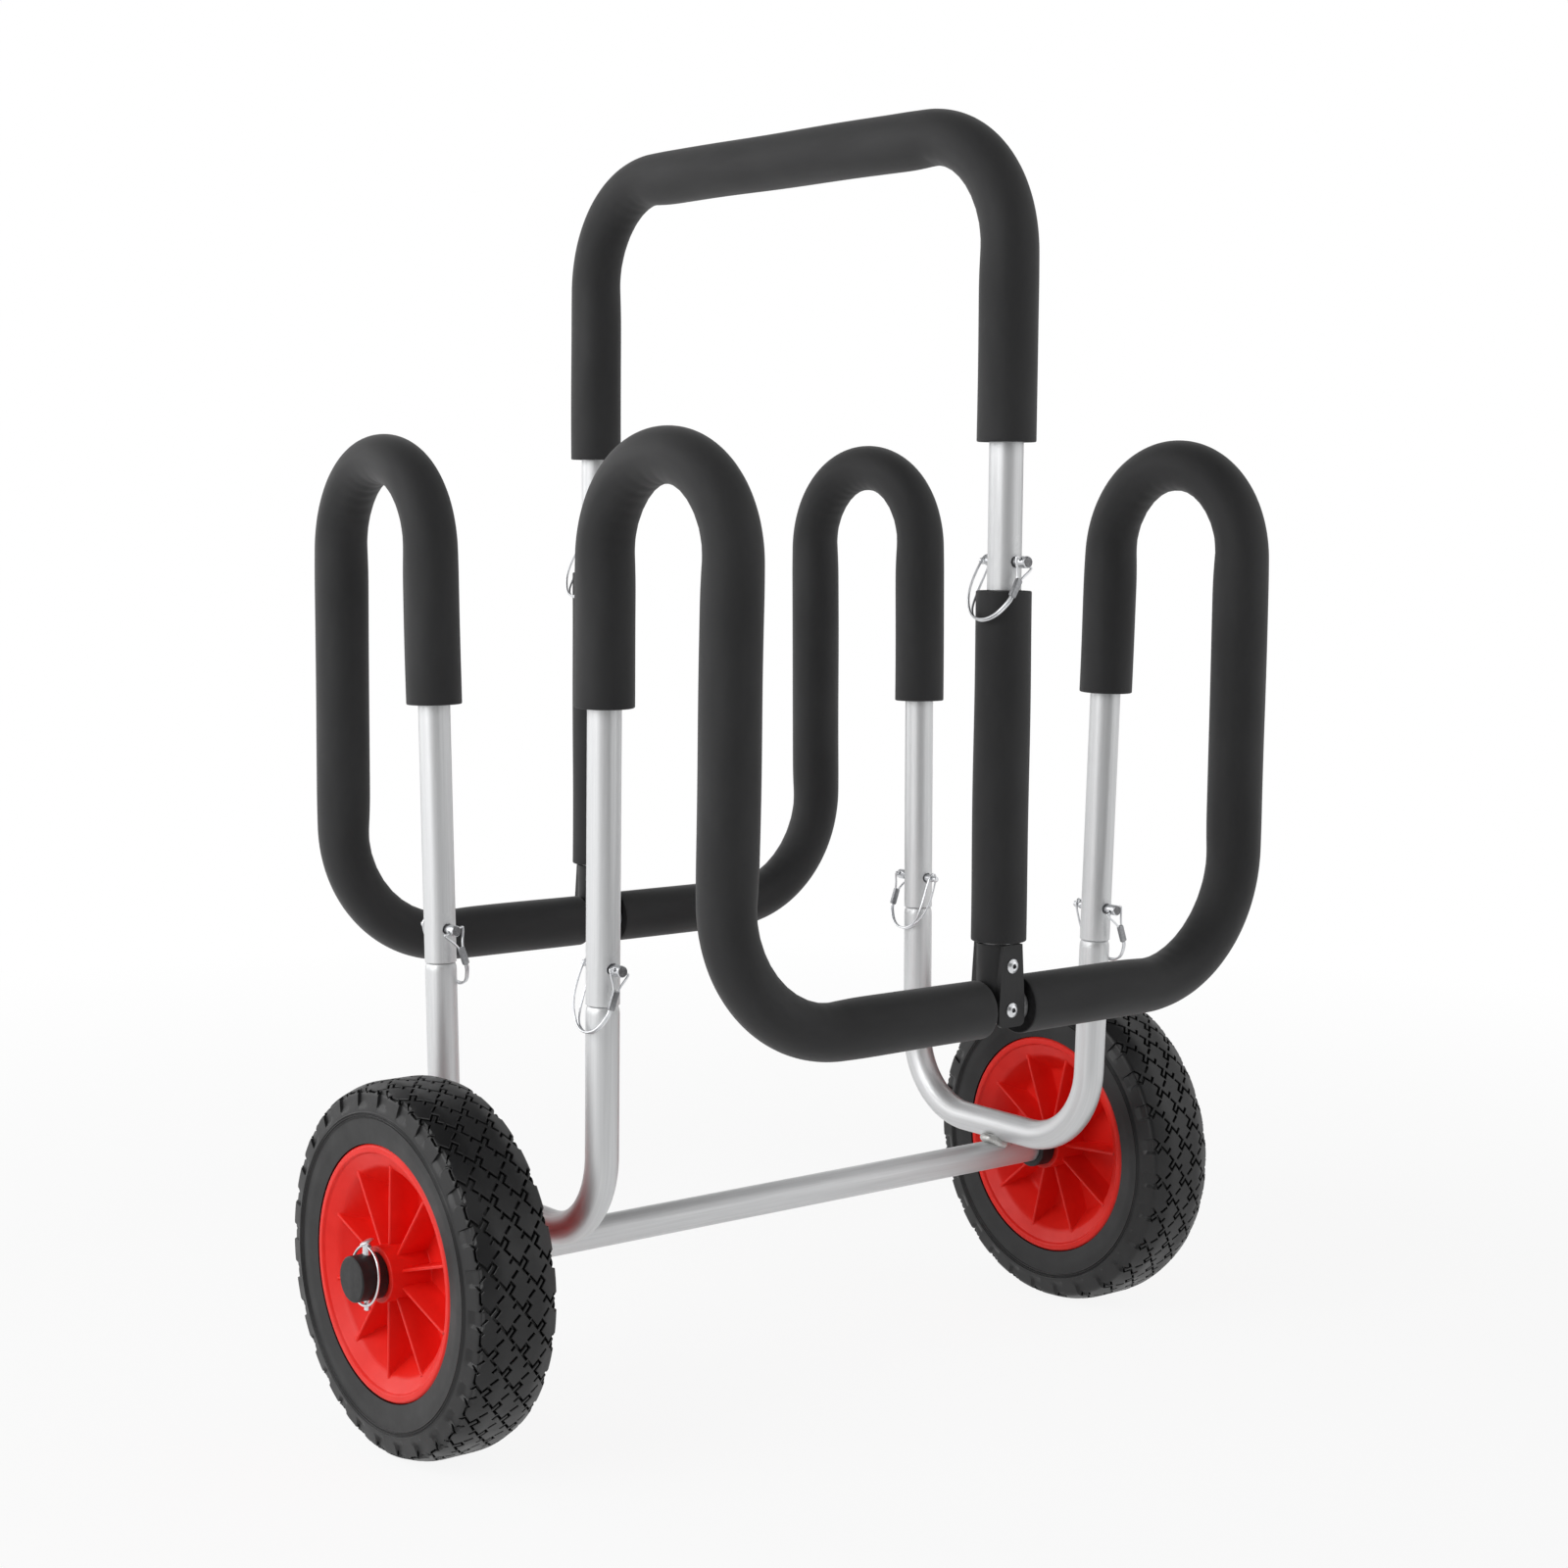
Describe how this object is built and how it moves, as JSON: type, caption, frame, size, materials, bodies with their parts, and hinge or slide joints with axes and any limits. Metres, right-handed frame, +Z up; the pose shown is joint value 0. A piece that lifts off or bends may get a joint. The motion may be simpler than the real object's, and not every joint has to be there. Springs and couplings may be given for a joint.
{
  "type": "kayak cart",
  "caption": "Upright tube cart on a wheeled axle, with foam-sleeved humped racks either side of a tall middle handle, for wheeling kayaks or boards on edge.",
  "frame": {"origin": "on the ground, midway between the two wheels", "axes": "+Z up, X along the axle with the left wheel at -X, -Y towards the front"},
  "size_m": [0.7036, 0.5088, 0.8873],
  "materials": {
    "aluminium": "matt silver anodised tube",
    "weld": "bare weld bead",
    "foam": "soft closed-cell foam, matt",
    "tyre": "moulded black tyre, matt",
    "red_plastic": "glossy moulded plastic",
    "black_plastic": "satin moulded plastic",
    "zinc": "bright zinc plate"
  },
  "bodies": {
    "cart": {"axle_tube": "aluminium", "handle_tube": "aluminium", "handle_foam": "foam", "frame_u_left": "aluminium", "weld_left": "weld", "axle_collar_left": "black_plastic", "axle_cap_left": "black_plastic", "wheel_pin_left": "zinc", "frame_u_right": "aluminium", "weld_right": "weld", "axle_collar_right": "black_plastic", "axle_cap_right": "black_plastic", "wheel_pin_right": "zinc", "rack_tube_front": "aluminium", "bracket_front": "black_plastic", "lower_rivet_front": "zinc", "upper_rivet_front": "zinc", "post_tube_front": "aluminium", "post_foam_front": "foam", "rack_foam_front_left": "foam", "rack_foam_front_right": "foam", "rack_tube_rear": "aluminium", "bracket_rear": "black_plastic", "lower_rivet_rear": "zinc", "upper_rivet_rear": "zinc", "post_tube_rear": "aluminium", "post_foam_rear": "foam", "rack_foam_rear_left": "foam", "rack_foam_rear_right": "foam"},
    "wheel_left": {"tyre_left": "tyre", "rim_left": "red_plastic"},
    "pin_ring_left": {"wheel_pin_ring_left": "zinc"},
    "wheel_right": {"tyre_right": "tyre", "rim_right": "red_plastic"},
    "pin_ring_right": {"wheel_pin_ring_right": "zinc"},
    "pin_front_left": {"lock_pin_front_left": "zinc"},
    "bail_front_left": {"bail_front_left": "zinc"},
    "pin_rear_left": {"lock_pin_rear_left": "zinc"},
    "bail_rear_left": {"bail_rear_left": "zinc"},
    "pin_front_right": {"lock_pin_front_right": "zinc"},
    "bail_front_right": {"bail_front_right": "zinc"},
    "pin_rear_right": {"lock_pin_rear_right": "zinc"},
    "bail_rear_right": {"bail_rear_right": "zinc"},
    "pin_handle_front": {"lock_pin_handle_front": "zinc"},
    "bail_handle_front": {"bail_handle_front": "zinc"},
    "pin_handle_rear": {"lock_pin_handle_rear": "zinc"},
    "bail_handle_rear": {"bail_handle_rear": "zinc"}
  },
  "joints": [
    {"name": "wheel_left_spin", "type": "hinge", "parent": "cart", "child": "wheel_left", "pos_m": [-0.3, 0, 0.125], "axis": [1, 0, 0], "continuous": true},
    {"name": "pin_ring_left_swing", "type": "hinge", "parent": "cart", "child": "pin_ring_left", "pos_m": [-0.3398, 0, 0.1455], "axis": [0, 1, 0], "range_deg": [0, 150]},
    {"name": "wheel_right_spin", "type": "hinge", "parent": "cart", "child": "wheel_right", "pos_m": [0.3, 0, 0.125], "axis": [1, 0, 0], "continuous": true},
    {"name": "pin_ring_right_swing", "type": "hinge", "parent": "cart", "child": "pin_ring_right", "pos_m": [0.3398, 0, 0.1455], "axis": [0, -1, 0], "range_deg": [0, 150]},
    {"name": "pin_front_left_swivel", "type": "hinge", "parent": "cart", "child": "pin_front_left", "pos_m": [-0.22281, -0.10015, 0.3315], "axis": [0, 1, 0], "range_deg": [0, 141]},
    {"name": "bail_front_left_lift", "type": "hinge", "parent": "pin_front_left", "child": "bail_front_left", "pos_m": [-0.22281, -0.11855, 0.3315], "axis": [0.9426, 0, -0.3338], "range_deg": [0, 9]},
    {"name": "pin_rear_left_swivel", "type": "hinge", "parent": "cart", "child": "pin_rear_left", "pos_m": [-0.22281, 0.10015, 0.3315], "axis": [0, -1, 0], "range_deg": [0, 141]},
    {"name": "bail_rear_left_lift", "type": "hinge", "parent": "pin_rear_left", "child": "bail_rear_left", "pos_m": [-0.22281, 0.08175, 0.3315], "axis": [0.9426, 0, 0.3338], "range_deg": [0, 9]},
    {"name": "pin_front_right_swivel", "type": "hinge", "parent": "cart", "child": "pin_front_right", "pos_m": [0.22281, -0.10015, 0.3315], "axis": [0, -1, 0], "range_deg": [0, 141]},
    {"name": "bail_front_right_lift", "type": "hinge", "parent": "pin_front_right", "child": "bail_front_right", "pos_m": [0.22281, -0.11855, 0.3315], "axis": [0.9426, 0, 0.3338], "range_deg": [0, 9]},
    {"name": "pin_rear_right_swivel", "type": "hinge", "parent": "cart", "child": "pin_rear_right", "pos_m": [0.22281, 0.10015, 0.3315], "axis": [0, 1, 0], "range_deg": [0, 141]},
    {"name": "bail_rear_right_lift", "type": "hinge", "parent": "pin_rear_right", "child": "bail_rear_right", "pos_m": [0.22281, 0.11855, 0.3315], "axis": [-0.9426, 0, 0.3338], "range_deg": [0, 9]},
    {"name": "pin_handle_front_swivel", "type": "hinge", "parent": "cart", "child": "pin_handle_front", "pos_m": [0, -0.232, 0.5925], "axis": [0, 1, 0], "range_deg": [0, 130]},
    {"name": "bail_handle_front_lift", "type": "hinge", "parent": "pin_handle_front", "child": "bail_handle_front", "pos_m": [0, -0.2504, 0.5925], "axis": [0.866, 0, -0.5], "range_deg": [0, 9]},
    {"name": "pin_handle_rear_swivel", "type": "hinge", "parent": "cart", "child": "pin_handle_rear", "pos_m": [0, 0.232, 0.5925], "axis": [0, 1, 0], "range_deg": [0, 130]},
    {"name": "bail_handle_rear_lift", "type": "hinge", "parent": "pin_handle_rear", "child": "bail_handle_rear", "pos_m": [0, 0.2136, 0.5925], "axis": [0.866, 0, -0.5], "range_deg": [0, 9]}
  ]
}
